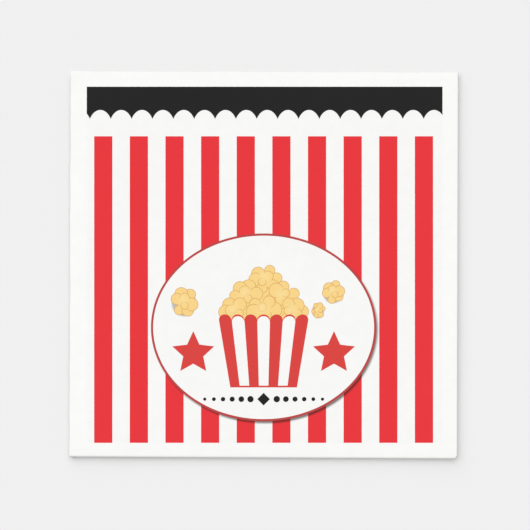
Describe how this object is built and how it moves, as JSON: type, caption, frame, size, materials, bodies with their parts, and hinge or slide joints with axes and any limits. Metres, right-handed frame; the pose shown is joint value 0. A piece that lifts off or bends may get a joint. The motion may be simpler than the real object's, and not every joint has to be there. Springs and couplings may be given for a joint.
{
  "type": "paper napkin",
  "caption": "Printed paper party napkin of layered tissue, folded in quarters, which opens out flat at its two folds.",
  "frame": {"origin": "centre of the folded stack's underside", "axes": "+Z out of the printed face, +Y towards the print's top, +X towards the print's right, where the first fold is"},
  "size_m": [0.165, 0.165, 0.0024],
  "materials": {
    "printed_tissue": "matt tissue printed with red stripes, a dark scalloped band and a white oval badge",
    "tissue": "matt white tissue, finely creped"
  },
  "bodies": {
    "inner_rear_panel": {"inner_rear_cover_ply": "tissue", "inner_rear_middle_ply": "tissue", "inner_rear_backing_ply": "tissue"},
    "inner_front_panel": {"inner_front_backing_ply": "tissue", "inner_front_middle_ply": "tissue", "inner_front_cover_ply": "tissue"},
    "front_panel": {"front_cover_ply": "printed_tissue", "front_middle_ply": "tissue", "front_backing_ply": "tissue"},
    "rear_panel": {"rear_backing_ply": "tissue", "rear_middle_ply": "tissue", "rear_cover_ply": "tissue"}
  },
  "joints": [
    {"name": "second_fold", "type": "hinge", "parent": "inner_rear_panel", "child": "inner_front_panel", "pos_m": [0, -0.0825, 0.00119], "axis": [1, 0, 0], "range_deg": [0, 180]},
    {"name": "first_fold_front", "type": "hinge", "parent": "inner_front_panel", "child": "front_panel", "pos_m": [0.0825, 0, 0.00185], "axis": [0, 1, 0], "range_deg": [0, 180]},
    {"name": "first_fold_rear", "type": "hinge", "parent": "inner_rear_panel", "child": "rear_panel", "pos_m": [0.0825, 0, 0.00053], "axis": [0, -1, 0], "range_deg": [0, 180]}
  ],
  "couplings": [
    {"joint": "first_fold_rear", "follows": "first_fold_front", "ratio": 1}
  ]
}
